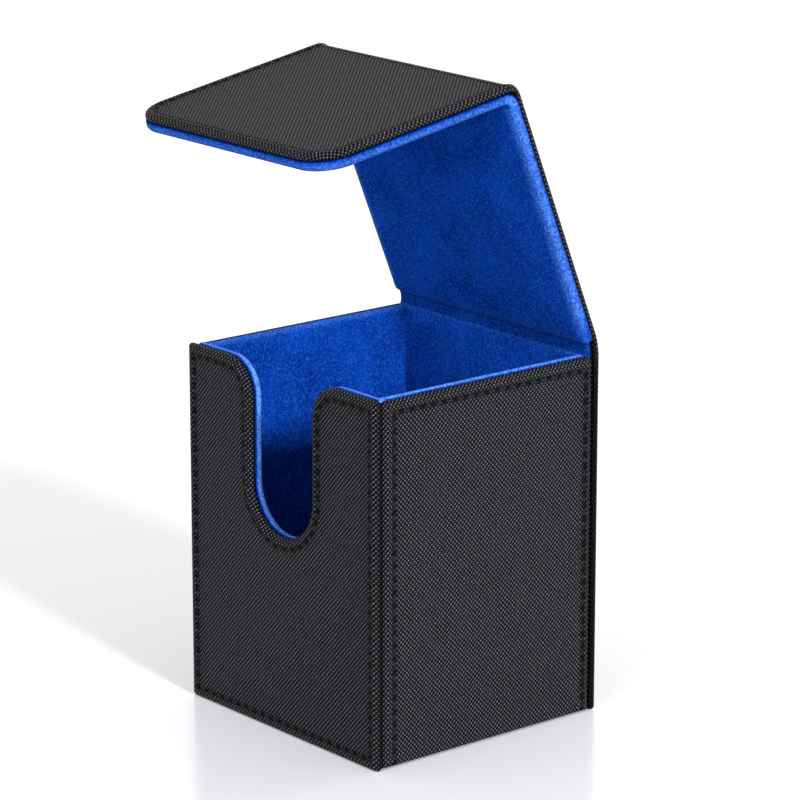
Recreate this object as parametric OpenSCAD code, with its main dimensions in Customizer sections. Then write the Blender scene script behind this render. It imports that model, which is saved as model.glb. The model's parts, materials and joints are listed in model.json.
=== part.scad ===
/*
  Deck box for trading cards.

  An upright box of stiff board, wrapped in leather outside and lined with suede
  inside. A lid cover is hinged along the top of the back wall and carries a front
  flap, which folds down over the thumb notch and is held shut by hidden magnets.

  Origin: centre of the box's bottom face. +X to the right, the front looks along -Y,
  +Z up. Millimetres. The lid is drawn part open.
*/

/* [Box] */
// Outer width of the box, left to right
box_w = 80; // [74:0.5:110]
// Outer depth of the box, without the flap
box_d = 77; // [60:0.5:110]
// Height of the walls
box_h = 100; // [98:0.5:130]
// Rounding of the front and back panels' corners
panel_r = 1; // [0.5:0.1:2]
// How far the side panels stand back from the front panel's ends
side_inset = 0.3; // [0.1:0.1:0.6]
// How much shorter the side panels are, at the bottom and at the top
side_trim = 0.5; // [0.3:0.1:1]
// Groove between a side panel and the front or back panel
corner_gap = 0.4; // [0.2:0.1:1]

/* [Panels] */
// Thickness of a leather-wrapped outer panel
outer_t = 2.0; // [1.6:0.1:2.6]
// Thickness of a suede-wrapped inner panel
inner_t = 3.0; // [2.4:0.1:3.6]
// Thickness of the leather
leather_t = 0.4; // [0.3:0.05:0.6]
// Thickness of the suede
suede_t = 0.5; // [0.3:0.05:0.8]
// Width of the rim where the skin is turned over a board's edges
rim_t = 1.0; // [0.6:0.1:1.4]

/* [Thumb notch] */
// Width of the notch in the front
notch_w = 26; // [20:0.5:30]
// Depth of the notch below the top edge
notch_depth = 45.5; // [30:0.5:60]
// Radius of the rounded shoulders beside the notch
shoulder_r = 10; // [6:0.5:12]

/* [Lid] */
// Opening of the lid as drawn, 0 is closed
lid_open = 68; // [10:1:85]
// Fold between lid cover and flap as drawn, 90 is closed
flap_fold = 78; // [20:1:88]
// Length of the flap from the fold's corner
flap_len = 66; // [60:0.5:80]
// Radius of the flap's free corners
flap_r = 10; // [4:0.5:20]
// Space between the closed lid and the wall's top edges
lid_gap = 0.2; // [0.1:0.05:0.5]
// Space between the closed flap and the front
flap_gap = 0.3; // [0.2:0.05:0.6]

/* [Stitching] */
// Width of the thread
thread_w = 0.6; // [0.4:0.1:0.8]
// Depth that the thread is sunk into the leather
thread_depth = 0.25; // [0.1:0.05:0.28]
// Distance of the stitching from the edges of the front, lid and flap
stitch_inset = 2.8; // [2:0.1:4]

/* [Magnets] */
// Diameter of a magnet
magnet_d = 10; // [6:1:12]
// Thickness of a magnet
magnet_t = 1.5; // [1:0.1:1.5]
// Distance of a magnet from the centre line
magnet_x = 25; // [22:0.5:30]
// Distance of the magnets from the flap's free edge
magnet_inset = 11; // [8:0.5:16]

/* [Hidden] */
$fn = 64;
SKIN_LEATHER = [0.13, 0.13, 0.14];
SKIN_SUEDE = [0.05, 0.22, 0.72];
BOARD = [0.55, 0.5, 0.44];
THREAD = [0.04, 0.04, 0.05];
STEEL = [0.75, 0.75, 0.78];

fit_gap = 0.1;                 // play around the base and around each magnet
lid_t = outer_t + inner_t;     // whole thickness of the lid, the flap and every wall
notch_r = notch_w / 2;
notch_z = box_h - notch_depth + notch_r;    // height of the notch's round centre
side_w = box_w - 2 * side_inset;            // across the side panels' outer faces
inner_w = side_w - 2 * outer_t;             // across the inner panels' backs
inner_d = box_d - 2 * outer_t;
room_w = inner_w - 2 * inner_t;             // clear inside of the box
room_d = inner_d - 2 * inner_t;
side_len = inner_d - 2 * corner_gap;
side_r = 1.5;                  // rounding of the side panels' top corners

// side stitching: distance from the panel's front, back and top edges
side_stitch = [3.9, 2.4, 3.3];

// Lid hinge axis, in the (y, z) plane. The closed lid's leather bends around it.
hinge_r = 3.0;
hinge_y = box_d / 2 - hinge_r;
hinge_z = box_h + lid_gap + lid_t - hinge_r;

// Fold axis, in the lid's own frame: v runs from the hinge to the fold, w inwards
fold_in = 0.65;                // from both outer faces when the fold is closed
fold_v = hinge_y + box_d / 2 + flap_gap + lid_t - fold_in;

back_top = box_h - 1.5;        // where the back's outer panel ends and the hinge starts
outer_start = 3.2;             // where the lid's outer panel starts, from the hinge axis
inner_start = 1.5;             // where the lid's inner panel starts
fold_outer = 3.0;              // flexible leather on each side of the fold
fold_inner = 4.6;              // inner panels end this far from the fold axis
lid_inner_w = box_w - 0.6;
flap_end = flap_len - fold_in;
magnet_v = flap_end - magnet_inset;
magnet_z = hinge_z + hinge_r - fold_in - magnet_v;       // in the front wall
strip_t = 0.5;                 // thickness of each layer of the flexible hinges
strip_gap = 0.05;              // between a flexible hinge and the next moving panel

// ---------- Outlines, in a panel's own plane ----------

// Upright rectangle, centred on x, with round lower and upper corners. A radius of 0
// or less leaves the corners square.
module sheet(w, y0, y1, low_r = 0, high_r = 0) {
    low = max(0, low_r);
    high = max(0, high_r);
    translate([-w / 2, y0 + low]) square([w, y1 - y0 - low - high]);
    if (low > 0) end_round(w, y0, y0 + low, low);
    if (high > 0) end_round(w, y1 - 2 * high, y1 - high, high);
}

// The rounded end of a sheet: a band 2 r high from y, and a corner circle at each side
module end_round(w, y, centre_y, r) {
    translate([-w / 2 + r, y]) square([w - 2 * r, 2 * r]);
    for (s = [-1, 1]) translate([s * (w / 2 - r), centre_y]) circle(r = r);
}

// The U notch with its shoulders, widened by i
module notch(i) {
    r = notch_r + i;
    arm = notch_r + shoulder_r;
    translate([0, notch_z]) circle(r = r);
    translate([-r, notch_z]) square([2 * r, notch_depth]);
    difference() {
        translate([-arm, box_h - shoulder_r]) square([2 * arm, 2 * shoulder_r]);
        for (s = [-1, 1])
            translate([s * arm, box_h - shoulder_r]) circle(r = shoulder_r - i);
    }
}

// Each outline takes i, the distance that its edges move inwards, and open, which
// is 1 where the edges that run on into the next panel don't move
module front_outline(i = 0) {
    difference() {
        sheet(box_w - 2 * i, i, box_h - i, panel_r - i, panel_r - i);
        notch(i);
    }
}

module front_inner_outline(i = 0) {
    difference() {
        sheet(inner_w - 2 * i, outer_t + i, box_h - i);
        notch(i);
    }
}

module back_outline(i = 0, open = 0) {
    sheet(box_w - 2 * i, i, back_top - i * (1 - open), panel_r - i);
}

module back_inner_outline(i = 0) {
    sheet(inner_w - 2 * i, outer_t + i, box_h - i);
}

module side_outline(i = 0) {
    sheet(side_len - 2 * i, side_trim + i, box_h - side_trim - i, 0, side_r - i);
}

module side_inner_outline(i = 0) {
    sheet(room_d - 2 * i, outer_t + i, box_h - i);
}

module base_outline(i = 0) {
    d = inner_d - 2 * fit_gap - 2 * i;
    sheet(inner_w - 2 * fit_gap - 2 * i, -d / 2, d / 2);
}

module base_inner_outline(i = 0) {
    d = room_d - 2 * fit_gap - 2 * i;
    sheet(room_w - 2 * fit_gap - 2 * i, -d / 2, d / 2);
}

module lid_outline(i = 0, open = 0) {
    step = i * (1 - open);
    sheet(box_w - 2 * i, outer_start + step, fold_v - fold_outer - step);
}

module lid_inner_outline(i = 0) {
    sheet(lid_inner_w - 2 * i, inner_start + i, fold_v - fold_inner - i);
}

module flap_outline(i = 0, open = 0) {
    sheet(box_w - 2 * i, fold_outer + i * (1 - open), flap_end - i, 0, flap_r - i);
}

module flap_inner_outline(i = 0) {
    sheet(lid_inner_w - 2 * i, fold_inner + i, flap_end - i, 0, flap_r - i);
}

// ---------- Layers of a panel: w = 0 is the outer face, w grows inwards ----------

module layer(w0, w1) {
    translate([0, 0, w0]) linear_extrude(w1 - w0) children();
}

// Skin wrapped over an outer panel's board: child 0 is the outline, child 1 the
// outline moved in by the rim, child 2 the line of the thread
module outer_skin(stitched = true) {
    color(SKIN_LEATHER) difference() {
        layer(0, outer_t) children(0);
        layer(leather_t, outer_t + 1) children(1);
        if (stitched) layer(-1, thread_depth) children(2);
    }
}

module outer_core() {
    color(BOARD) layer(leather_t, outer_t) children();
}

// Suede wrapped over an inner panel's board, with the same children 0 and 1. Its open
// side is glued to the outer panel.
module inner_skin() {
    color(SKIN_SUEDE) difference() {
        layer(outer_t, lid_t) children(0);
        layer(outer_t - 1, lid_t - suede_t) children(1);
    }
}

module inner_core() {
    color(BOARD) layer(outer_t, lid_t - suede_t) children();
}

module thread() {
    color(THREAD) layer(0, thread_depth) children();
}

// Line of stitching: child 0 is its outer border and child 1 its inner border
module seam() {
    difference() {
        children(0);
        children(1);
    }
}

module magnet(w0) {
    color(STEEL) translate([0, 0, w0]) cylinder(d = magnet_d, h = magnet_t);
}

module magnet_pair(height) {
    for (s = [-1, 1]) translate([s * magnet_x, height, 0]) children();
}

module magnet_seat(w0, w1) {
    translate([0, 0, w0]) cylinder(d = magnet_d + 2 * fit_gap, h = w1 - w0);
}

// ---------- Places ----------

module at_front() {
    translate([0, -box_d / 2, 0]) rotate([90, 0, 0]) mirror([0, 0, 1]) children();
}

module at_back() {
    translate([0, box_d / 2, 0]) rotate([90, 0, 0]) children();
}

module at_left() {
    translate([-side_w / 2, 0, 0]) rotate([90, 0, 90]) children();
}

module at_right() {
    mirror([1, 0, 0]) at_left() children();
}

module at_lid() {
    translate([0, hinge_y, hinge_z]) rotate([-lid_open, 0, 0])
        translate([0, 0, hinge_r]) rotate([180, 0, 0]) children();
}

module at_flap() {
    at_lid() translate([0, fold_v, fold_in]) rotate([flap_fold, 0, 0])
        translate([0, 0, -fold_in]) children();
}

// ---------- Stitching lines ----------

module front_seam() {
    seam() {
        front_outline(stitch_inset - thread_w / 2);
        front_outline(stitch_inset + thread_w / 2);
    }
}

module back_seam() {
    seam() {
        back_outline(stitch_inset - thread_w / 2, 1);
        back_outline(stitch_inset + thread_w / 2, 1);
    }
}

// Two columns down to the bottom edge, joined by a row under the top edge
module side_seam_border(i) {
    width = side_len - side_stitch[0] - side_stitch[1] - 2 * i;
    translate([(side_stitch[0] - side_stitch[1]) / 2, 0])
        sheet(width, side_trim, box_h - side_trim - side_stitch[2] - i);
}

module side_seam() {
    seam() {
        side_seam_border(-thread_w / 2);
        side_seam_border(thread_w / 2);
    }
}

module lid_seam() {
    seam() {
        lid_outline(stitch_inset - thread_w / 2, 1);
        lid_outline(stitch_inset + thread_w / 2, 1);
    }
}

module flap_seam() {
    seam() {
        flap_outline(stitch_inset - thread_w / 2, 1);
        flap_outline(stitch_inset + thread_w / 2, 1);
    }
}

// ---------- Box walls ----------

module front_leather() {
    at_front() outer_skin() {
        front_outline();
        front_outline(rim_t);
        front_seam();
    }
}

module front_board() {
    at_front() difference() {
        outer_core() front_outline(rim_t);
        magnet_pair(magnet_z) magnet_seat(0, lid_t);
    }
}

module front_stitching() {
    at_front() thread() front_seam();
}

module front_magnets() {
    at_front() magnet_pair(magnet_z) magnet(leather_t);
}

module front_lining() {
    at_front() inner_skin() {
        front_inner_outline();
        front_inner_outline(rim_t);
    }
}

module front_lining_board() {
    at_front() inner_core() front_inner_outline(rim_t);
}

module back_leather() {
    at_back() outer_skin() {
        back_outline();
        back_outline(rim_t);
        back_seam();
    }
}

module back_board() {
    at_back() outer_core() back_outline(rim_t);
}

module back_stitching() {
    at_back() thread() back_seam();
}

module back_lining() {
    at_back() inner_skin() {
        back_inner_outline();
        back_inner_outline(rim_t);
    }
}

module back_lining_board() {
    at_back() inner_core() back_inner_outline(rim_t);
}

module side_leather() {
    outer_skin() {
        side_outline();
        side_outline(rim_t);
        side_seam();
    }
}

module side_board() {
    outer_core() side_outline(rim_t);
}

module side_lining() {
    inner_skin() {
        side_inner_outline();
        side_inner_outline(rim_t);
    }
}

module side_lining_board() {
    inner_core() side_inner_outline(rim_t);
}

module left_leather() at_left() side_leather();
module left_board() at_left() side_board();
module left_stitching() at_left() thread() side_seam();
module left_lining() at_left() side_lining();
module left_lining_board() at_left() side_lining_board();
module right_leather() at_right() side_leather();
module right_board() at_right() side_board();
module right_stitching() at_right() thread() side_seam();
module right_lining() at_right() side_lining();
module right_lining_board() at_right() side_lining_board();

// ---------- Base ----------

module base_leather() {
    outer_skin(stitched = false) {
        base_outline();
        base_outline(rim_t);
    }
}

module base_board() {
    outer_core() base_outline(rim_t);
}

module base_lining() {
    inner_skin() {
        base_inner_outline();
        base_inner_outline(rim_t);
    }
}

module base_lining_board() {
    inner_core() base_inner_outline(rim_t);
}

// ---------- Lid cover ----------

module lid_leather() {
    at_lid() outer_skin() {
        lid_outline();
        lid_outline(rim_t);
        lid_seam();
    }
}

module lid_board() {
    at_lid() outer_core() lid_outline(rim_t);
}

module lid_stitching() {
    at_lid() thread() lid_seam();
}

module lid_lining() {
    at_lid() inner_skin() {
        lid_inner_outline();
        lid_inner_outline(rim_t);
    }
}

module lid_lining_board() {
    at_lid() inner_core() lid_inner_outline(rim_t);
}

// ---------- Flap ----------

module flap_leather() {
    at_flap() outer_skin() {
        flap_outline();
        flap_outline(rim_t);
        flap_seam();
    }
}

module flap_board() {
    at_flap() outer_core() flap_outline(rim_t);
}

module flap_stitching() {
    at_flap() thread() flap_seam();
}

module flap_lining() {
    at_flap() inner_skin() {
        flap_inner_outline();
        flap_inner_outline(rim_t);
    }
}

module flap_lining_board() {
    at_flap() difference() {
        inner_core() flap_inner_outline(rim_t);
        magnet_pair(magnet_v) magnet_seat(magnet_floor() - fit_gap, lid_t);
    }
}

// Where the flap's magnets start, against the suede
function magnet_floor() = lid_t - suede_t - magnet_t;

module flap_magnets() {
    at_flap() magnet_pair(magnet_v) magnet(magnet_floor());
}

// ---------- Flexible hinges ----------

// Quadratic curve from a to c, drawn towards b
function bend(a, b, c, steps = 8) = [
    for (i = [0 : steps])
        let (t = i / steps) (1 - t) * (1 - t) * a + 2 * t * (1 - t) * b + t * t * c
];

function reversed(list) = [for (i = [len(list) - 1 : -1 : 0]) list[i]];

// Points in (y, z) of the lid at distance v from the hinge axis and depth w
function lid_point(v, w) = [
    hinge_y - v * cos(lid_open) + (hinge_r - w) * sin(lid_open),
    hinge_z + v * sin(lid_open) + (hinge_r - w) * cos(lid_open)
];

// The same on the flap, at distance v from the fold axis
function flap_point(v, w) = lid_point(
    fold_v + v * cos(flap_fold) - (w - fold_in) * sin(flap_fold),
    fold_in + v * sin(flap_fold) + (w - fold_in) * cos(flap_fold)
);

// Where the back wall's depth w meets the lid's depth w
function hinge_corner(w) =
    lid_point((hinge_r - w) * (sin(lid_open) - 1) / cos(lid_open), w);

// Where the lid's depth w meets the flap's depth w
function fold_corner(w) = lid_point(fold_v + (fold_in - w) * tan(flap_fold / 2), w);

function hinge_curve(w) =
    bend([box_d / 2 - w, back_top], hinge_corner(w), lid_point(outer_start - strip_gap, w));

function fold_curve(w) =
    bend(lid_point(fold_v - fold_outer, w), fold_corner(w),
         flap_point(fold_outer - strip_gap, w));

// Strip of material between two curves in (y, z), width across x
module strip(width, curve_a, curve_b) {
    rotate([90, 0, 90]) translate([0, 0, -width / 2])
        linear_extrude(width) polygon(concat(curve_a, reversed(curve_b)));
}

module lid_hinge_leather() {
    color(SKIN_LEATHER) strip(box_w, hinge_curve(0), hinge_curve(strip_t));
}

module lid_hinge_lining() {
    color(SKIN_SUEDE) strip(lid_inner_w, hinge_curve(strip_t), hinge_curve(2 * strip_t));
}

module fold_leather() {
    color(SKIN_LEATHER) strip(box_w, fold_curve(0), fold_curve(strip_t));
}

module fold_lining() {
    color(SKIN_SUEDE) strip(lid_inner_w, fold_curve(strip_t), fold_curve(2 * strip_t));
}

// ---------- Assembly ----------

front_leather();
front_board();
front_stitching();
front_magnets();
front_lining();
front_lining_board();
back_leather();
back_board();
back_stitching();
back_lining();
back_lining_board();
left_leather();
left_board();
left_stitching();
left_lining();
left_lining_board();
right_leather();
right_board();
right_stitching();
right_lining();
right_lining_board();
base_leather();
base_board();
base_lining();
base_lining_board();
lid_hinge_leather();
lid_hinge_lining();
lid_leather();
lid_board();
lid_stitching();
lid_lining();
lid_lining_board();
fold_leather();
fold_lining();
flap_leather();
flap_board();
flap_stitching();
flap_magnets();
flap_lining();
flap_lining_board();
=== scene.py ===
"""Card deck box with its lid open: black embossed leather outside, blue suede inside.

Lengths are in millimetres, and a mesh is scaled to metres as it is made. Sizes and
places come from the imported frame. Every panel is built flat in its own (u, v, w): u
and v run along its outer face, and w runs from that face towards the inside.
"""

import json
import math

import bpy
from mathutils import Matrix, Vector, kdtree


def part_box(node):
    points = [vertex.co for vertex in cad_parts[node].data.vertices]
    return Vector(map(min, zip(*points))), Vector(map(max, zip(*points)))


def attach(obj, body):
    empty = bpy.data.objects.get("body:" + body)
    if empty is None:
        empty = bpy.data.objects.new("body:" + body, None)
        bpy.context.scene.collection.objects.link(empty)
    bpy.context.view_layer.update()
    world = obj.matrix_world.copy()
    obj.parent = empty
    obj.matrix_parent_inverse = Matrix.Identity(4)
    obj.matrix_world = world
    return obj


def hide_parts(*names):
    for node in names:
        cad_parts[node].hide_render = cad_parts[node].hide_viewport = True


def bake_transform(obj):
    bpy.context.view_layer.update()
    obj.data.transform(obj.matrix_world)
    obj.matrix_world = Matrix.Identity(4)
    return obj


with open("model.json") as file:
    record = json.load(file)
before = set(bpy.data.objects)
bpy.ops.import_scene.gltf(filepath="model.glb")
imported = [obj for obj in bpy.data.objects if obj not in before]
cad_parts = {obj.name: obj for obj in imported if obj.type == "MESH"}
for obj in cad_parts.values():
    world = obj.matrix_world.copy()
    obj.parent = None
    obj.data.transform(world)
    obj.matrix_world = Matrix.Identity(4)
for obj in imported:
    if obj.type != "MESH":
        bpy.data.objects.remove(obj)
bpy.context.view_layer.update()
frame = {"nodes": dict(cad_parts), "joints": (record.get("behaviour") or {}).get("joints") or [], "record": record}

# ---------- Sizes ----------

MM = 0.001
LEATHER_EDGE = (1.0, 0.95)    # rounding of a leather panel's outer and glued edges
SUEDE_EDGE = (1.3, 0.8)       # the same for a suede panel's free and glued edges
CORNER_R = 1.0                # corners of the front and back
SIDE_TOP_R = 1.5              # top corners of the sides
FLAP_R = 10.0                 # free corners of the flap
POINT_STEP = 0.45             # between points along an outline
LEAST_ARC_R = 0.02            # a corner stays at least this round when its outline is inset
CUT_SHARE = 0.02              # share of an inset that an edge moves where it meets another piece
FOOT_SHARE = 0.15             # the same for the side walls' bottom edge
SHARP_ANGLE = 50              # degrees between faces that are shaded as a sharp edge
SAME = 0.01                   # lengths closer than this are taken as the same

SEAM_INSET = 2.8              # stitching, from the edges
SIDE_SEAM_INSET = (3.9, 2.4, 3.3)       # on the sides: from the front, back and top edges
STITCH_PITCH = 3.6
STITCH_LENGTH = 2.4
SEAM_SAMPLE = 0.1             # between the points that a seam's relief is measured from
THREAD_R = (0.32, 0.22)       # half width and half height of the thread
THREAD_LIFT = 0.75            # of that half height, from the groove's floor to the thread's middle
THREAD_DIP = 0.55             # how far a stitch's ends go down into the needle holes
THREAD_TAPER = 0.35           # how much thinner the thread is at its ends, as a share
RIM_RISE = 0.26               # how far the padded rim stands out past the panel's face
RIM_CREST = (1.6, 0.8)        # distance of the rim's crest from the edge, and its half width
RIM_START = (0.4, 1.0)        # distances from the edge between which the rim begins
GROOVE = (0.16, 0.5)          # depth and half width of the groove that the thread pulls
HOLE = (0.10, 0.45, 0.5)      # further depth at a needle hole, half width and half length
GROOVE_DARK = (0.8, 0.62)     # shade along the groove and its half width
HOLE_DARK = (1.2, 0.7, 0.8)   # shade at a needle hole, half width and half length
FACE_SINK = 0.10              # depth of a leather panel's middle below its face
SINK_START = (1.2, 3.8)       # distances from the edge between which the face goes down to it
PAD_RISE = ((1.3, 0.34), (1.8, 0.20), (2.5, 0.09), (3.4, 0.02), (4.4, 0))   # suede: inset, depth
CREVICE = 0.9                 # depth of the painted shade in the crevice where leather and suede meet
CREVICE_END = 0.1             # how far before the leather's glued edge that painted shade is darkest
SUEDE_CREVICE_DARK = 1.7      # painted shade that the crevice takes off the suede's edge
JOINT_REACH = 1.5             # how far from an edge that another panel butts against it gets painted shade
JOINT_DARK = (0.3, 0.9)       # depths between which painted shade darkens the leather there
SIDE_DROP = 0.25              # how much lower the sides' suede ends than their leather
LID_BULGE = (0.4, 0.6)        # how far the lid's suede is moved at its left and right
FLAP_BULGE = (-0.4, 0.5)      # the same for the flap's suede
HINGE_BULGE = (0.7, -0.8)     # the same for the lining of the lid's hinge
LID_OVERLAP = 0.4             # how far the lid's and flap's suede comes up round the leather's edge
LID_PAD_R = (2.5, 1.2)        # lower corners of the lid's suede, at its left and right
LID_FADE = (3, 9)             # heights on the lid between which its suede's edge gets its painted highlight
FADE_REST = 0.2               # share of that painted highlight left below them
HINGE_TAIL = 3.2              # length of the hinge lining tucked in behind the sides
HINGE_LAP = (0.6, 0.9)        # how far the hinge lining laps the back's suede and the lid's
HINGE_LEVELS = (0.1, 1.0)     # how much further out its two faces lie than the panels' suede's
HINGE_TAIL_THICK = 0.6        # thickness at the tucked end
HINGE_DIP = 0.5               # how far the middle of its face is pushed out into the corner
HINGE_EDGE = (0.5, 1.0)       # rounding of its glued and free edges
FOLD_LAP = 0.2                # how far the fold's lining laps the suede on both sides

# Painted highlight on the suede's free edges, where the nap catches the light: 0 is as the face, 1 painted pale,
# and more is pale further in.
EDGE_HIGHLIGHT = {
    "front": 1.0,
    "back": 0.1,
    "left": 0.25,
    "right": 1.7,
    "base": 1.0,
    "lid": 0.38,
    "flap": 0.25,
}
PAD_BAND = 1.4                # width of the edge's painted highlight
LID_BAND = 3.2                # the same on the lid
STRIP_BAND = 0.8              # the same on the linings of the hinge and the fold
HINGE_TONES = (0, -0.3)       # painted highlight on the hinge lining's edges, and painted shade added all over it for its crease
FOLD_TONES = (0.5, 0)         # the same for the fold's

# ---------- Places ----------


def place(origin, u_dir, v_dir, w_dir):
    """Matrix from a panel's (u, v, w) in millimetres to the frame in metres."""
    axes = Matrix((u_dir, v_dir, w_dir)).transposed().to_4x4()
    return Matrix.Scale(MM, 4) @ Matrix.Translation(origin) @ axes


def node_box(node):
    low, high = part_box(node)
    return low / MM, high / MM


X, Y, Z = Vector((1, 0, 0)), Vector((0, 1, 0)), Vector((0, 0, 1))
joints = {joint["name"]: joint for joint in frame["joints"]}
hinge_axis = Vector(joints["lid_hinge"]["pos_m"]) / MM
fold_axis = Vector(joints["flap_fold"]["pos_m"]) / MM
lid_open = math.radians(-joints["lid_hinge"]["range_deg"][0])
flap_fold = math.radians(-joints["flap_fold"]["range_deg"][0])

box_front = node_box("front_leather")[0].y
box_back = node_box("back_leather")[1].y
side_x = node_box("right_leather")[1].x
outer_t = node_box("front_leather")[1].y - box_front      # leather and its board
inner_t = node_box("front_lining")[1].y - node_box("front_lining")[0].y      # suede and its board
wall_t = outer_t + inner_t
hinge_r = box_back - hinge_axis.y      # from the hinge axis to the leather's face

lid_v = Vector((0, -math.cos(lid_open), math.sin(lid_open)))
lid_w = Vector((0, -math.sin(lid_open), -math.cos(lid_open)))
flap_v = lid_v * math.cos(flap_fold) + lid_w * math.sin(flap_fold)
flap_w = lid_w * math.cos(flap_fold) - lid_v * math.sin(flap_fold)
fold_in = hinge_r + (fold_axis - hinge_axis).dot(lid_w)      # the same from the fold axis

PLACES = {
    "front": place(Y * box_front, X, Z, Y),
    "back": place(Y * box_back, X, Z, -Y),
    "left": place(X * -side_x, Y, Z, X),
    "right": place(X * side_x, Y, Z, -X),
    "base": place(Vector(), X, Y, Z),
    "lid": place(hinge_axis - lid_w * hinge_r, X, lid_v, lid_w),
    "flap": place(fold_axis - flap_w * fold_in, X, flap_v, flap_w),
}
BODIES = {panel: "box" for panel in PLACES} | {"lid": "lid_cover", "flap": "flap"}


def panel_points(panel, layer):
    """Points of a panel's CAD leather or lining, in its own (u, v, w)."""
    inverse = PLACES[panel].inverted()
    return [inverse @ vertex.co for vertex in frame["nodes"][f"{panel}_{layer}"].data.vertices]


def panel_box(panel, layer):
    points = panel_points(panel, layer)
    low = Vector(min(p[k] for p in points) for k in range(3))
    high = Vector(max(p[k] for p in points) for k in range(3))
    return low, high


# ---------- Outlines ----------


def left_of(direction):
    return Vector((-direction.y, direction.x))


class Outline:
    """Rounded polygon that can be drawn at any inset, always with the same points.

    A corner is (u, v, radius), anticlockwise, and a hollow corner's radius is negative.
    An edge's share is how far it moves for each millimetre of inset.
    """

    def __init__(self, corners, shares=None):
        self.points = [Vector(corner[:2]) for corner in corners]
        self.radii = [corner[2] for corner in corners]
        self.count = len(corners)
        self.shares = shares or [1.0] * self.count
        self.directions = [
            (self.points[(k + 1) % self.count] - self.points[k]).normalized()
            for k in range(self.count)
        ]
        self.arc_steps = [self.steps_of_arc(k) for k in range(self.count)]
        self.line_steps = [self.steps_of_line(k) for k in range(self.count)]

    def turn(self, k):
        before, after = self.directions[k - 1], self.directions[k]
        return math.atan2(before.cross(after), before.dot(after))

    def steps_of_arc(self, k):
        return round(abs(self.radii[k] * self.turn(k)) / POINT_STEP)

    def steps_of_line(self, k):
        start = self.arc(k, 0)[-1]
        end = self.arc((k + 1) % self.count, 0)[0]
        return round((end - start).length / POINT_STEP)

    def arc(self, k, inset):
        """Points of corner k, from the end of the edge before it to the start of its own."""
        before, after = self.directions[k - 1], self.directions[k]
        moves = inset * self.shares[k - 1], inset * self.shares[k]
        turn = self.turn(k)
        along = (moves[1] - moves[0] * math.cos(turn)) / math.sin(turn)
        corner = self.points[k] + left_of(before) * moves[0] - before * along
        side = 1 if self.radii[k] >= 0 else -1
        radius = max(LEAST_ARC_R, abs(self.radii[k]) - side * sum(moves) / 2)
        start = corner - before * (radius * math.tan(abs(turn) / 2))
        centre = start + left_of(before) * (side * radius)
        steps = self.arc_steps[k]
        if steps == 0:
            return [corner]
        points = []
        for step in range(steps + 1):
            spin = Matrix.Rotation(turn * step / steps, 2)
            points.append(centre + spin @ (start - centre))
        return points

    def line(self, k, inset):
        """Points inside edge k."""
        start = self.arc(k, inset)[-1]
        end = self.arc((k + 1) % self.count, inset)[0]
        steps = self.line_steps[k]
        return [start.lerp(end, step / steps) for step in range(1, steps)]

    def ring(self, inset):
        """All points of the outline, in order. An edge without length adds none."""
        points = []
        for k in range(self.count):
            arc = self.arc(k, inset)
            if self.line_steps[k] == 0:
                arc = arc[:-1]
            points += arc + self.line(k, inset)
        return points

    def run(self, inset, edges):
        """The outline along these edges, with the corners between them."""
        points = [self.arc(edges[0], inset)[-1]]
        for k in edges:
            points += self.line(k, inset)
            if k == edges[-1]:
                points.append(self.arc((k + 1) % self.count, inset)[0])
            else:
                points += self.arc((k + 1) % self.count, inset)
        return points


BOTTOM, RIGHT, TOP, LEFT = range(4)      # the edges of a four-sided outline
FRONT_RIGHT, FRONT_LEFT = 1, 7           # the upright edges of the front's outline


def sheet(low, high, radii=(0, 0, 0, 0), shares=None):
    """Four-sided outline. Corners: low left, low right, high right, high left."""
    corners = [
        (low.x, low.y, radii[0]),
        (high.x, low.y, radii[1]),
        (high.x, high.y, radii[2]),
        (low.x, high.y, radii[3]),
    ]
    return Outline(corners, shares)


def notched(low, high, corner_r, shares=None):
    """Front outline: the top edge goes down into the thumb notch and up again.

    The notch's half width is that of its straight part, and the top edge's flat begins
    where the rounded shoulder ends.
    """
    top = high.y
    points = panel_points("front", "lining")
    straight_part = 0.8 * top
    notch_r = min(abs(p.x) for p in points if p.y > straight_part)
    shoulder_r = min(abs(p.x) for p in points if p.y > top - SAME) - notch_r
    openings = {opening["name"]: opening for opening in frame["record"]["physics"]["openings"]}
    floor = openings["thumb_notch"]["box_m"][0][2] / MM - notch_r
    corners = [
        (low.x, low.y, corner_r),
        (high.x, low.y, corner_r),
        (high.x, top, corner_r),
        (notch_r, top, shoulder_r),
        (notch_r, floor, -notch_r),
        (-notch_r, floor, -notch_r),
        (-notch_r, top, shoulder_r),
        (low.x, top, corner_r),
    ]
    return Outline(corners, shares)


# ---------- Panels ----------


def edge_profile(start, end, start_r, end_r, steps=5):
    """(inset, w) points round an edge, from the face at w = start to the one at w = end."""
    points = []
    for step in range(steps + 1):
        angle = math.pi / 2 * (1 - step / steps)
        points.append((start_r * (1 - math.cos(angle)), start_r * (1 - math.sin(angle))))
    for step in range(steps + 1):
        angle = math.pi / 2 * step / steps
        height = abs(end - start) - end_r * (1 - math.sin(angle))
        points.append((end_r * (1 - math.cos(angle)), height))
    direction = math.copysign(1, end - start)
    return [(inset, start + direction * height) for inset, height in points]


def unrolled(profile):
    """The insets that the points would have with the edge's skin folded out flat."""
    flat = [profile[-1][0]]
    for before, after in zip(profile[-2::-1], profile[:0:-1]):
        flat.append(flat[-1] - math.dist(before, after))
    return flat[::-1]


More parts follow.
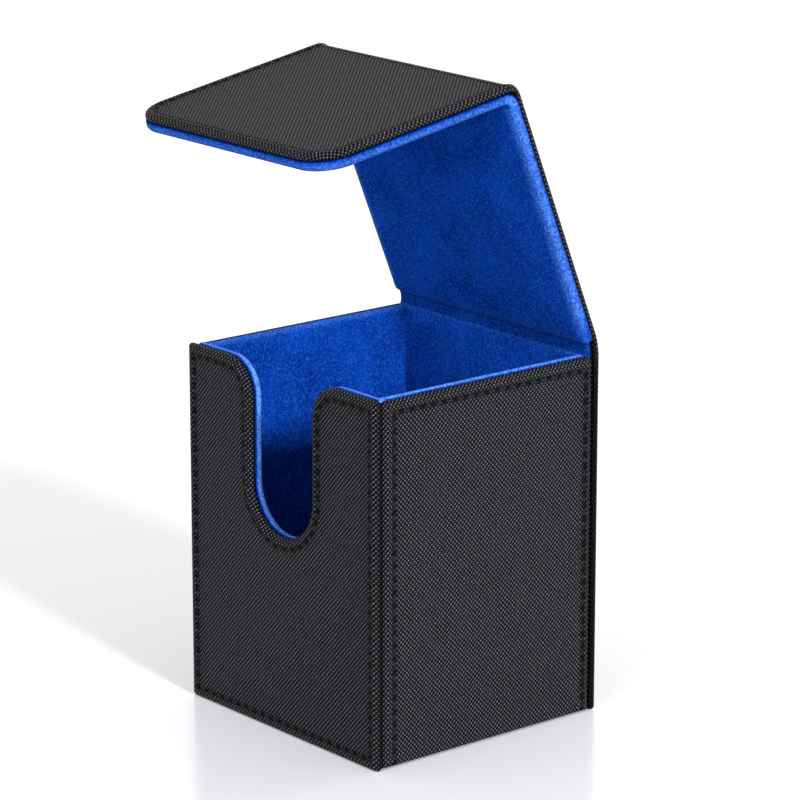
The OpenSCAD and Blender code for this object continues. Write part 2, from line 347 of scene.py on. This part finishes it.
def make_piece(name, vertices, faces, at, uvs=None, shades=None):
    """Mesh object from points in (u, v, w), with a UV map in millimetres.

    shades is a number for each point, which the materials read as "shade": painted shade,
    and on the suede a painted highlight where it is above 0.
    """
    mesh = bpy.data.meshes.new(name)
    if at.determinant() < 0:
        faces = [face[::-1] for face in faces]
    mesh.from_pydata([at @ Vector(vertex) for vertex in vertices], [], faces)
    mesh.validate()
    if uvs:
        layer = mesh.uv_layers.new(name="Skin")
        for loop in mesh.loops:
            layer.data[loop.index].uv = uvs[loop.vertex_index]
    if shades:
        attribute = mesh.attributes.new("shade", "FLOAT", "POINT")
        attribute.data.foreach_set("value", shades)
    mesh.shade_smooth()
    mesh.set_sharp_from_angle(angle=math.radians(SHARP_ANGLE))
    piece = bpy.data.objects.new(name, mesh)
    bpy.context.scene.collection.objects.link(piece)
    return piece


def bridge(rings, size):
    """Quads between neighbouring rings of points, and a cap at each end."""
    faces = []
    for ring in range(rings - 1):
        first = ring * size
        for k in range(size):
            after = (k + 1) % size
            quad = (first + k, first + after, first + size + after, first + size + k)
            faces.append(quad)
    faces.append(tuple(range(size))[::-1])
    faces.append(tuple(range((rings - 1) * size, rings * size)))
    return faces


def slab(name, outline, profile, at, relief):
    """Closed panel whose last profile point lies on its visible face.

    relief(point, inset, w) gives the point's depth and its shade.
    """
    vertices, uvs, shades = [], [], []
    for (inset, w), flat in zip(profile, unrolled(profile)):
        for point in outline.ring(inset):
            deep, shade = relief(point, inset, w)
            vertices.append((*point, deep))
            shades.append(shade)
        uvs += outline.ring(flat)
    size = len(outline.ring(0))
    faces = bridge(len(profile), size)
    if profile[-1][1] < profile[0][1]:
        faces = [face[::-1] for face in faces]
    return make_piece(name, vertices, faces, at, uvs, shades)


# ---------- Stitching ----------


class Seam:
    """A line of stitches: points with their distance along the line."""

    def __init__(self, points, closed=False):
        points = points + points[:1] if closed else points
        self.points = points[:1]
        for point in points[1:]:
            if (point - self.points[-1]).length > 2 * SAME:
                self.points.append(point)
        self.closed = closed
        self.lengths = [0.0]
        for before, after in zip(self.points, self.points[1:]):
            self.lengths.append(self.lengths[-1] + (after - before).length)
        total = self.lengths[-1]
        self.stitches = round(total / STITCH_PITCH)
        self.pitch = total / self.stitches

    def at(self, s):
        """Point and direction at a distance along the line."""
        s = s % self.lengths[-1] if self.closed else s
        s = min(max(s, 0), self.lengths[-1])
        k = 0
        while k < len(self.points) - 2 and self.lengths[k + 1] < s:
            k += 1
        step = self.points[k + 1] - self.points[k]
        share = (s - self.lengths[k]) / step.length
        return self.points[k] + step * share, step.normalized()


def lookup(points):
    """Tree that finds the nearest of these points, or None without any."""
    if not points:
        return None
    tree = kdtree.KDTree(len(points))
    for k, point in enumerate(points):
        tree.insert((*point, 0), k)
    tree.balance()
    return tree


def bell(distance, width):
    """1 at no distance, and nearly 0 from twice the width on."""
    return math.exp(-((distance / width) ** 2))


def ramp(value, low, high):
    """0 up to low, 1 from high on, and even in between."""
    return min(1, max(0, (value - low) / (high - low)))


def face_depth(distance):
    """Depth of a leather face at a distance from the panel's edge."""
    crest, width = RIM_CREST
    rise = RIM_RISE * bell(distance - crest, width) * ramp(distance, *RIM_START)
    return FACE_SINK * ramp(distance, *SINK_START) ** 2 - rise


def leather_shade(w):
    """Painted shade: 1 deep in the crevice next to the suede, and 0 on the visible face."""
    darkest = outer_t - CREVICE_END
    return ramp(w, darkest - CREVICE, darkest)


def seam_relief(rims, seams, joints):
    """Relief of a leather panel: a padded rim, a groove along each seam, and its holes.

    The painted shade is up to 1 in a groove or hole, deep in a joint with another panel
    and in the crevice next to the suede. It is 0 elsewhere.
    """
    rim = lookup([point for line in rims for point in line])
    joint = lookup([point for line in joints for point in line])
    fine = []
    for seam in seams:
        count = int(seam.lengths[-1] / SEAM_SAMPLE)
        for k in range(count + 1):
            s = seam.lengths[-1] * k / count
            fine.append((*seam.at(s)[0], s / seam.pitch))
    line = lookup([point[:2] for point in fine])

    def relief(point, inset, w):
        if inset < LEATHER_EDGE[0] or w > SAME:
            near_joint = joint and joint.find((*point, 0))[2] < JOINT_REACH
            dark = ramp(w, *JOINT_DARK) if near_joint else 0
            return w, max(dark, leather_shade(w))
        if rim:
            w = face_depth(rim.find((*point, 0))[2])
        if not line:
            return w, 0
        _, index, off = line.find((*point, 0))
        phase = fine[index][2]
        along = abs(phase - round(phase)) * STITCH_PITCH

        def groove(amount, width):
            return amount * bell(off, width)

        def hole(amount, width, length):
            return amount * bell(off, width) * bell(along, length)

        dark = groove(*GROOVE_DARK) + hole(*HOLE_DARK)
        return w + groove(*GROOVE) + hole(*HOLE), min(1, dark)

    return relief


def pad_relief(low, band, level, fade=None):
    """Relief of a suede panel whose glued face lies at w = low.

    The shade is level on its free edge, as a painted highlight, 0 on its face and -1 deep in
    the crevice, as painted shade. fade is a pair of places along v: the edge's painted
    highlight is faint before the first one, and full after the second.
    """

    def relief(point, inset, w):
        # Painted highlight on the free edge, less of it before the fade, and painted shade in the crevice.
        edge = level * max(0, 1 - inset / band)
        if fade:
            edge *= FADE_REST + (1 - FADE_REST) * ramp(point.y, *fade)
        return w, max(-1, edge - SUEDE_CREVICE_DARK * ramp(w, low + CREVICE, low))

    return relief


def stitch(seam, number, vertices, faces):
    """One stitch: a tube of thread that dips into a hole at each end."""
    rings, sides = 9, 8
    middle = (number + 0.5) * seam.pitch
    half_w, half_h = THREAD_R
    for ring in range(rings):
        share = 2 * ring / (rings - 1) - 1
        point, along = seam.at(middle + share * STITCH_LENGTH / 2)
        sideways = left_of(along)
        dip = THREAD_DIP * share**4
        narrow = 1 - THREAD_TAPER * share**4
        centre_w = FACE_SINK + GROOVE[0] - half_h * THREAD_LIFT + dip
        first = len(vertices)
        for side in range(sides):
            angle = 2 * math.pi * side / sides
            u, v = point + sideways * (half_w * narrow * math.cos(angle))
            vertices.append((u, v, centre_w + half_h * narrow * math.sin(angle)))
        if ring:
            for k in range(sides):
                after = (k + 1) % sides
                faces.append((first - sides + k, first - sides + after, first + after, first + k))
    last = len(vertices) - rings * sides
    faces.append(tuple(range(last, last + sides))[::-1])
    faces.append(tuple(range(len(vertices) - sides, len(vertices))))


def stitching(name, seams, at):
    vertices, faces = [], []
    for seam in seams:
        for number in range(seam.stitches):
            stitch(seam, number, vertices, faces)
    return make_piece(name, vertices, faces, at)


# ---------- Flexible strips ----------


def bend(start, corner, end, steps=24):
    """Points of a quadratic curve."""
    points = []
    for step in range(steps + 1):
        t = step / steps
        points.append(start.lerp(corner, t).lerp(corner.lerp(end, t), t))
    return points


def strip(name, sides, depths, profile, shade, low_curve, high_curve):
    """Closed band between two curves in (y, z), with round side edges.

    The curves lie at the two depths, and shade(inset, w) gives the profile's points their
    painted highlight and shade.
    """
    low, high = depths
    section = []
    left, right = sides
    for side, edge in ((1, right), (-1, left)):
        for inset, w in profile[::side]:
            share = (w - low) / (high - low)
            section.append((edge - side * inset, share, shade(inset, w)))
    vertices, uvs, shades = [], [], []
    travelled = 0
    for number, (outer, inner) in enumerate(zip(low_curve, high_curve)):
        travelled += (outer - low_curve[max(0, number - 1)]).length
        for u, share, dark in section:
            vertices.append(X * u + outer + (inner - outer) * share)
            uvs.append((u, travelled))
            shades.append(dark)
    faces = bridge(len(low_curve), len(section))
    return make_piece(name, vertices, faces, Matrix.Scale(MM, 4), uvs, shades)


# ---------- Materials ----------

# Colours as linear red, green and blue, and opacity.
# The crest colour is a painted highlight on the grain, and the valley colour its black in painted shade.
LEATHER_VALLEY = (0.0007, 0.0007, 0.0011, 1)
LEATHER_CREST_HIGHLIGHT = (0.146, 0.147, 0.172, 1)
SUEDE_DARK = (0.0009, 0.0145, 0.148, 1)
SUEDE_LIGHT = (0.0020, 0.0310, 0.255, 1)
SUEDE_FLECK = (0.008, 0.100, 0.49, 1)
# Painted highlight on the suede's free edges, and painted shade in its crevice.
SUEDE_EDGE_HIGHLIGHT = (0.115, 0.28, 0.76, 1)
SUEDE_CREVICE = (0, 0.001, 0.006, 1)
SUEDE_SHEEN = (0.1, 0.35, 1.0, 1)
THREAD_DARK = (0.002, 0.002, 0.0025, 1)
THREAD_LIGHT = (0.012, 0.012, 0.014, 1)
BOARD_DARK = (0.27, 0.24, 0.20, 1)
BOARD_LIGHT = (0.42, 0.38, 0.32, 1)
NICKEL_DARK = (0.52, 0.51, 0.49, 1)
NICKEL_LIGHT = (0.68, 0.67, 0.65, 1)
FLOOR_GREY = (0.68, 0.685, 0.705, 1)
WHITE = (1, 1, 1, 1)

GRAIN_CELL = (1.3, 1.36)      # one grain of the leather's lattice along u and along v
GRAIN_SLANT = (0.62, 0.38)    # shares of the lattice's two slanted waves
GRAIN_WOBBLE = 1.2            # how far the waves wander, in radians
GRAIN_DEPTH = 0.00024         # bump heights, in metres
NAP_DEPTH = 0.0002
THREAD_DEPTH = 0.0001
BOARD_DEPTH = 0.0001
NICKEL_DEPTH = 0.00002


class Nodes:
    """Short way to build a node material.

    Noise scales count waves in a metre, or in a millimetre along the "Skin" UV map.
    """

    MIX_DARK, MIX_LIGHT, MIX_RESULT = 6, 7, 2      # the colour sockets of a Mix node

    def __init__(self, name):
        self.material = bpy.data.materials.new(name)
        self.material.use_nodes = True
        self.tree = self.material.node_tree
        self.shader = self.tree.nodes["Principled BSDF"]

    def add(self, kind, inputs=None, **settings):
        node = self.tree.nodes.new(kind)
        for key, value in settings.items():
            setattr(node, key, value)
        for key, value in (inputs or {}).items():
            self.feed(node.inputs[key], value)
        return node

    def feed(self, socket, value):
        if isinstance(value, bpy.types.NodeSocket):
            self.tree.links.new(value, socket)
        elif isinstance(value, bpy.types.Node):
            self.tree.links.new(value.outputs[0], socket)
        else:
            socket.default_value = value

    def math(self, operation, *values):
        return self.add("ShaderNodeMath", dict(enumerate(values)), operation=operation)

    def mix(self, factor, dark, light):
        node = self.add("ShaderNodeMix", data_type="RGBA")
        self.feed(node.inputs["Factor"], factor)
        self.feed(node.inputs[self.MIX_DARK], dark)
        self.feed(node.inputs[self.MIX_LIGHT], light)
        return node.outputs[self.MIX_RESULT]

    def noise(self, scale, detail=2.0, roughness=0.5, vector=None):
        if vector is None:
            vector = self.add("ShaderNodeTexCoord").outputs["Object"]
        inputs = {"Vector": vector, "Scale": scale, "Detail": detail, "Roughness": roughness}
        return self.add("ShaderNodeTexNoise", inputs).outputs["Fac"]

    def ramp(self, value, low, high, start=0.0, end=1.0):
        """Goes from start to end while the value goes from low to high."""
        inputs = {"Value": value, "From Min": low, "From Max": high}
        inputs |= {"To Min": start, "To Max": end}
        return self.add("ShaderNodeMapRange", inputs).outputs[0]

    def bump(self, height, distance, strength=1.0):
        inputs = {"Height": height, "Distance": distance, "Strength": strength}
        return self.add("ShaderNodeBump", inputs).outputs[0]

    def finish(self, **inputs):
        for key, value in inputs.items():
            self.feed(self.shader.inputs[key.replace("_", " ")], value)
        return self.material


def leather_material():
    """Black leather with an embossed lattice of slanted grains, with painted highlight on their crests."""
    n = Nodes("black_leather")
    uv = n.add("ShaderNodeUVMap", uv_map="Skin").outputs[0]
    # The "shade" attribute: painted shade in grooves, needle holes, joints and crevices.
    seam = n.add("ShaderNodeAttribute", attribute_name="shade").outputs["Fac"]
    wobble = n.noise(0.35, 2.0, vector=uv)
    split = n.add("ShaderNodeSeparateXYZ", {"Vector": uv})
    u, v = (
        n.math("MULTIPLY", split.outputs[k], 2 * math.pi / cell)
        for k, cell in enumerate(GRAIN_CELL)
    )
    u = n.math("ADD", u, n.math("MULTIPLY", wobble, GRAIN_WOBBLE))
    rising = n.math("COSINE", n.math("SUBTRACT", u, v))
    falling = n.math("COSINE", n.math("ADD", u, v))
    rising, falling = (
        n.math("MULTIPLY", wave, share) for wave, share in zip((rising, falling), GRAIN_SLANT)
    )
    lattice = n.math("ADD", rising, falling)
    grain = n.ramp(lattice, -0.7, 0.9)
    fine = n.noise(4500.0, 3.0, 0.6)
    # Painted highlight on the crests, stronger in some places than in others, and none in painted shade.
    crest = n.ramp(lattice, -0.1, 0.95)
    highlight_strength = n.ramp(n.noise(1.1, 2.0, 0.6, vector=uv), 0.3, 0.7, 0.4, 1.0)
    light = n.math("MULTIPLY", n.math("POWER", crest, 2.5), highlight_strength)
    light = n.math("MULTIPLY", light, n.math("SUBTRACT", 1.0, seam))
    colour = n.mix(light, LEATHER_VALLEY, LEATHER_CREST_HIGHLIGHT)
    height = n.math("ADD", grain, n.math("MULTIPLY", fine, 0.2))
    rough = n.ramp(fine, 0.2, 0.8, 0.40, 0.56)
    normal = n.bump(height, GRAIN_DEPTH)
    return n.finish(Base_Color=colour, Roughness=rough, Normal=normal, IOR=1.13)


def suede_material():
    """Royal-blue suede: a short mottled nap, with painted highlight and shade at its edges."""
    n = Nodes("blue_suede")
    shade = n.add("ShaderNodeAttribute", attribute_name="shade").outputs["Fac"]
    nap = n.noise(1800.0, 4.0, 0.72)
    patches = n.ramp(n.noise(70.0, 3.0, 0.55), 0.35, 0.7)
    colour = n.mix(patches, SUEDE_DARK, SUEDE_LIGHT)
    fleck = n.ramp(nap, 0.49, 0.64)
    colour = n.mix(n.math("MULTIPLY", fleck, 0.72), colour, SUEDE_FLECK)
    # Painted highlight on the free edges, mottled by the nap.
    edge_highlight = n.ramp(shade, 0.0, 1.0)
    crevice = n.ramp(shade, 0.0, -1.0)
    lit = n.math("ADD", n.math("MULTIPLY", n.ramp(nap, 0.42, 0.60), 0.85), 0.25)
    colour = n.mix(n.math("MULTIPLY", edge_highlight, lit), colour, SUEDE_EDGE_HIGHLIGHT)
    # Painted shade in the crevice next to the leather.
    colour = n.mix(n.math("MULTIPLY", crevice, 0.97), colour, SUEDE_CREVICE)
    normal = n.bump(nap, NAP_DEPTH, 0.8)
    return n.finish(
        Base_Color=colour,
        Roughness=0.95,
        Normal=normal,
        Specular_IOR_Level=0.0,
        Sheen_Weight=0.03,
        Sheen_Roughness=0.5,
        Sheen_Tint=SUEDE_SHEEN,
    )


def thread_material():
    """Waxed black thread."""
    n = Nodes("black_thread")
    strands = n.noise(6000.0, 2.0)
    colour = n.mix(strands, THREAD_DARK, THREAD_LIGHT)
    normal = n.bump(strands, THREAD_DEPTH)
    return n.finish(Base_Color=colour, Roughness=0.5, Normal=normal, Specular_IOR_Level=0.1)


def board_material():
    """Grey pressed board, seen only with the skins taken off."""
    n = Nodes("grey_board")
    fibres = n.noise(900.0, 5.0, 0.7)
    colour = n.mix(fibres, BOARD_DARK, BOARD_LIGHT)
    return n.finish(Base_Color=colour, Roughness=0.9, Normal=n.bump(fibres, BOARD_DEPTH))


def magnet_material():
    """Nickel plating with faint cloudy marks."""
    n = Nodes("nickel_magnet")
    marks = n.noise(2500.0, 2.0)
    colour = n.mix(marks, NICKEL_DARK, NICKEL_LIGHT)
    normal = n.bump(marks, NICKEL_DEPTH)
    return n.finish(Base_Color=colour, Metallic=1.0, Roughness=0.28, Normal=normal)


MATERIALS = {
    "black_leather": leather_material(),
    "blue_suede": suede_material(),
    "black_thread": thread_material(),
    "grey_board": board_material(),
    "nickel_magnet": magnet_material(),
}


def dress(piece, slot):
    piece.data.materials.clear()
    piece.data.materials.append(MATERIALS[slot])


def settle(piece, slot, body, node):
    """Gives a new piece its material and its body, and hides the CAD node that it stands for."""
    dress(piece, slot)
    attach(piece, body)
    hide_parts(node)


# ---------- The panels ----------

leather_profile = edge_profile(outer_t, 0, LEATHER_EDGE[1], LEATHER_EDGE[0])
face_insets = [1.3, 1.6, 1.9, 2.15, 2.4, 2.6, 2.8, 3.0, 3.2, 3.45, 3.7, 4.1, 4.6, 5.2]
leather_face = leather_profile + [(inset, 0) for inset in face_insets]
bend_profile = leather_profile + [(inset, face_depth(inset)) for inset in face_insets]
bend_profile = bend_profile[::-1]


def pad_profile(glued_w):
    """Section of a suede panel's side, from its glued face to its crowned middle."""
    crown = [(inset, wall_t - depth) for inset, depth in PAD_RISE]
    free_r, glued_r = SUEDE_EDGE
    return edge_profile(glued_w, crown[0][1], glued_r, free_r) + crown[1:]


suede_face = pad_profile(outer_t)
lid_pad_face = pad_profile(outer_t - LID_OVERLAP)


def leather_panel(panel, outline, rim_edges, seams, joint_edges=()):
    """rim_edges are runs of edges with a padded rim, and joint_edges those in a joint."""
    at = PLACES[panel]
    rims = [outline.run(0, edges) for edges in rim_edges]
    joints = [outline.run(0, edges) for edges in joint_edges]
    relief = seam_relief(rims, seams, joints)
    shell = slab(f"{panel}_leather_shell", outline, leather_face, at, relief)
    settle(shell, "black_leather", BODIES[panel], f"{panel}_leather")
    if seams:
        thread = stitching(f"{panel}_stitches", seams, at)
        settle(thread, "black_thread", BODIES[panel], f"{panel}_stitching")


def moved(low, high, moves):
    """The left and right ends of a box, moved by these two amounts."""
    return low.x + moves[0], high.x + moves[1]


def suede_panel(panel, outline, profile=suede_face, band=PAD_BAND, fade=None):
    """band is the width of the edge's painted highlight, and fade the heights between which it begins."""
    relief = pad_relief(profile[0][1], band, EDGE_HIGHLIGHT[panel], fade)
    pad = slab(f"{panel}_suede_pad", outline, profile, PLACES[panel], relief)
    settle(pad, "blue_suede", BODIES[panel], f"{panel}_lining")


def build_front():
    low, high = panel_box("front", "leather")
    outline = notched(low, high, CORNER_R)
    seam = Seam(outline.ring(SEAM_INSET), closed=True)
    around = list(range(outline.count))
    leather_panel("front", outline, [around], [seam], [[FRONT_RIGHT], [FRONT_LEFT]])
    low, high = panel_box("front", "lining")
    shares = [1, CUT_SHARE, 1, 1, 1, 1, 1, CUT_SHARE]
    suede_panel("front", notched(low, high, 0, shares))


def build_back():
    low, high = panel_box("back", "leather")
    outline = sheet(low, high, (CORNER_R, CORNER_R, 0, 0), [1, 1, CUT_SHARE, 1])
    around = [LEFT, BOTTOM, RIGHT]
    seam = Seam(outline.run(SEAM_INSET, around))
    leather_panel("back", outline, [around], [seam], [[RIGHT], [LEFT]])
    low, high = panel_box("back", "lining")
    suede_panel("back", sheet(low, high, shares=[1, CUT_SHARE, 1, CUT_SHARE]))


def build_side(panel):
    """Its suede runs on into the front's and the back's, by half their thickness."""
    low, high = panel_box(panel, "leather")
    front, back, top = (inset / SEAM_INSET for inset in SIDE_SEAM_INSET)
    outline = sheet(low, high, (0, 0, SIDE_TOP_R, SIDE_TOP_R), [FOOT_SHARE, back, top, front])
    around = [RIGHT, TOP, LEFT]
    rims = [BOTTOM, RIGHT, TOP, LEFT]
    seam = Seam(outline.run(SEAM_INSET, around))
    leather_panel(panel, outline, [rims], [seam], [[RIGHT], [LEFT]])
    low, high = panel_box(panel, "lining")
    low.x -= inner_t / 2
    high.x += inner_t / 2
    high.y -= SIDE_DROP
    suede_panel(panel, sheet(low, high, shares=[1, CUT_SHARE, 1, CUT_SHARE]))


def build_base():
    low, high = panel_box("base", "leather")
    leather_panel("base", sheet(low, high), [], [])
    low, high = panel_box("base", "lining")
    suede_panel("base", sheet(low, high))


def build_lid():
    low, high = panel_box("lid", "leather")
    outline = sheet(low, high, shares=[CUT_SHARE, 1, CUT_SHARE, 1])
    lines = [[RIGHT], [LEFT]]
    seams = [Seam(outline.run(SEAM_INSET, line)) for line in lines]
    leather_panel("lid", outline, lines, seams)
    low, high = panel_box("lid", "lining")
    low.x, high.x = moved(low, high, LID_BULGE)
    fade = [low.y + height for height in LID_FADE]
    outline = sheet(low, high, (*LID_PAD_R, 0, 0), [1, 1, CUT_SHARE, 1])
    suede_panel("lid", outline, lid_pad_face, LID_BAND, fade)


def build_flap():
    low, high = panel_box("flap", "leather")
    outline = sheet(low, high, (0, 0, FLAP_R, FLAP_R), [CUT_SHARE, 1, 1, 1])
    around = [RIGHT, TOP, LEFT]
    leather_panel("flap", outline, [around], [Seam(outline.run(SEAM_INSET, around))])
    low, high = panel_box("flap", "lining")
    low.x, high.x = moved(low, high, FLAP_BULGE)
    outline = sheet(low, high, (0, 0, FLAP_R, FLAP_R), [CUT_SHARE, 1, 1, 1])
    suede_panel("flap", outline, lid_pad_face)


# ---------- The flexible hinges ----------


def point_on(panel, v, w):
    return PLACES[panel] @ Vector((0, v, w)) / MM


def across(first, second, w, bulge=0):
    """Curve at depth w from one panel's end to the next one's, round their corner.

    first and second are (panel, v, direction towards the corner). bulge moves the
    curve's middle outwards.
    """
    start, start_dir = point_on(*first[:2], w), first[2]
    end, end_dir = point_on(*second[:2], w), second[2]
    gap = end - start
    turn = start_dir.y * end_dir.z - start_dir.z * end_dir.y
    corner = start + start_dir * ((gap.y * end_dir.z - gap.z * end_dir.y) / turn)
    outwards = (corner - start.lerp(end, 0.5)).normalized()
    return bend(start, corner + outwards * 2 * bulge, end)


def flexible(name, leather_ends, suede_ends, profile, dip, sides, tones, tail=()):
    """Leather strip and suede strip across a joint, from one panel's edge to the next.

    profile is the section of the suede's sides, dip pushes the middle of its face out into
    the corner, and tones are the painted highlight on its edges and the painted shade added
    to all of it. tail is a pair of points that its two curves start from.
    """
    low, high = profile[0][1], profile[-1][1]
    edge_tone, whole_tone = tones
    relief = pad_relief(low, STRIP_BAND, edge_tone)

    def skin_shade(inset, w):
        return leather_shade(w)

    # Painted highlight on the lining's edges, and painted shade over all of it.
    def pad_shade(inset, w):
        return min(relief(None, inset, w)[1] + whole_tone, 1)

    skin_sides = [end.x for end in node_box("front_leather")]
    skin = across(*leather_ends, 0), across(*leather_ends, outer_t)
    leather = strip(
        f"{name}_leather_bend", skin_sides, (0, outer_t), bend_profile, skin_shade, *skin
    )
    pad = [across(*suede_ends, low), across(*suede_ends, high, dip)]
    if tail:
        pad = [[first] + curve for first, curve in zip(tail, pad)]
    suede = strip(f"{name}_suede_bend", sides, (low, high), profile, pad_shade, *pad)
    pieces = (leather, "black_leather", skin[0]), (suede, "blue_suede", pad[0])
    for (piece, slot, curve), node in zip(pieces, ("leather", "lining")):
        dress(piece, slot)
        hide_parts(f"{name}_{node}")
        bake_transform(piece)


def build_hinges():
    lid_low, lid_high = panel_box("lid", "leather")
    pad_low, pad_high = panel_box("lid", "lining")
    flap_low = panel_box("flap", "leather")[0].y
    flap_pad_low = panel_box("flap", "lining")[0].y
    back_top = panel_box("back", "leather")[1].y
    back_pad_top = panel_box("back", "lining")[1].y
    low, high = outer_t - HINGE_LEVELS[0], wall_t - HINGE_LEVELS[1]
    tucked = [low, low + HINGE_TAIL_THICK]
    flexible(
        "lid_hinge",
        (("back", back_top, Z), ("lid", lid_low.y, lid_v)),
        (("back", back_pad_top - HINGE_LAP[0], Z), ("lid", pad_low.y + HINGE_LAP[1], lid_v)),
        edge_profile(low, high, *HINGE_EDGE), HINGE_DIP,
        moved(pad_low, pad_high, HINGE_BULGE), HINGE_TONES,
        [point_on("back", back_pad_top - HINGE_TAIL, w) for w in tucked],
    )
    flexible(
        "fold",
        (("lid", lid_high.y, lid_v), ("flap", flap_low, flap_v)),
        (("lid", pad_high.y - FOLD_LAP, lid_v), ("flap", flap_pad_low + FOLD_LAP, flap_v)),
        lid_pad_face, 0, moved(pad_low, pad_high, LID_BULGE), FOLD_TONES,
    )


build_front()
build_back()
build_side("left")
build_side("right")
build_base()
build_lid()
build_flap()
build_hinges()

for node_name, node in frame["nodes"].items():
    if node_name.endswith("board"):
        dress(node, "grey_board")
    elif node_name.endswith("magnets"):
        dress(node, "nickel_magnet")

# ---------- Studio ----------

CAMERA_ANGLES = (50.26, 15.35)          # degrees round from the front, and up
CAMERA_DISTANCE = 1.0841                # metres from the middle of the box's bottom
CAMERA_SHIFT = (0.00194, 0.08256)       # metres to the camera's right and up, to the box's middle
CAMERA_LENS = 178.1                     # millimetres, on a sensor 36 wide
FLOOR_HALF = 4.0                        # half the floor's width, in metres
SUNS = (                                # name, direction to it, width in degrees, strength
    ("key", (0.93, -0.09, 0.38), 9, 4.5),
    ("fill", (0.25, -0.90, 0.36), 35, 1.7),
    ("back", (0.05, 0.98, 0.20), 30, 1.2),
)


def add_camera():
    azimuth, elevation = (math.radians(angle) for angle in CAMERA_ANGLES)
    level = math.cos(elevation)
    back = Vector((math.sin(azimuth) * level, -math.cos(azimuth) * level, math.sin(elevation)))
    turn = (-back).to_track_quat("-Z", "Y")
    camera = bpy.data.objects.new("camera", bpy.data.cameras.new("camera"))
    camera.location = back * CAMERA_DISTANCE + turn @ Vector((*CAMERA_SHIFT, 0))
    camera.rotation_mode = "QUATERNION"
    camera.rotation_quaternion = turn
    camera.data.sensor_width = 36
    camera.data.lens = CAMERA_LENS
    bpy.context.scene.collection.objects.link(camera)
    bpy.context.scene.camera = camera


def add_sun(name, towards, spread, strength):
    """Distant soft light. towards points from the object to it."""
    light = bpy.data.lights.new(name, "SUN")
    light.angle = math.radians(spread)
    light.energy = strength
    lamp = bpy.data.objects.new(name, light)
    lamp.rotation_mode = "QUATERNION"
    lamp.rotation_quaternion = (-Vector(towards)).to_track_quat("-Z", "Y")
    bpy.context.scene.collection.objects.link(lamp)


def add_floor():
    n = Nodes("studio_floor")
    n.finish(Base_Color=FLOOR_GREY, Roughness=0.2, IOR=2.1)
    half = FLOOR_HALF
    corners = [(-half, -half, 0), (half, -half, 0), (half, half, 0), (-half, half, 0)]
    mesh = bpy.data.meshes.new("studio_floor")
    mesh.from_pydata(corners, [], [(0, 1, 2, 3)])
    mesh.materials.append(n.material)
    floor = bpy.data.objects.new("studio_floor", mesh)
    bpy.context.scene.collection.objects.link(floor)


def add_studio():
    world = bpy.data.worlds.new("studio")
    world.use_nodes = True
    background = world.node_tree.nodes["Background"]
    background.inputs["Color"].default_value = WHITE
    background.inputs["Strength"].default_value = 1.0
    scene = bpy.context.scene
    scene.world = world
    scene.view_settings.view_transform = "Standard"
    add_floor()
    for sun in SUNS:
        add_sun(*sun)


add_camera()
add_studio()
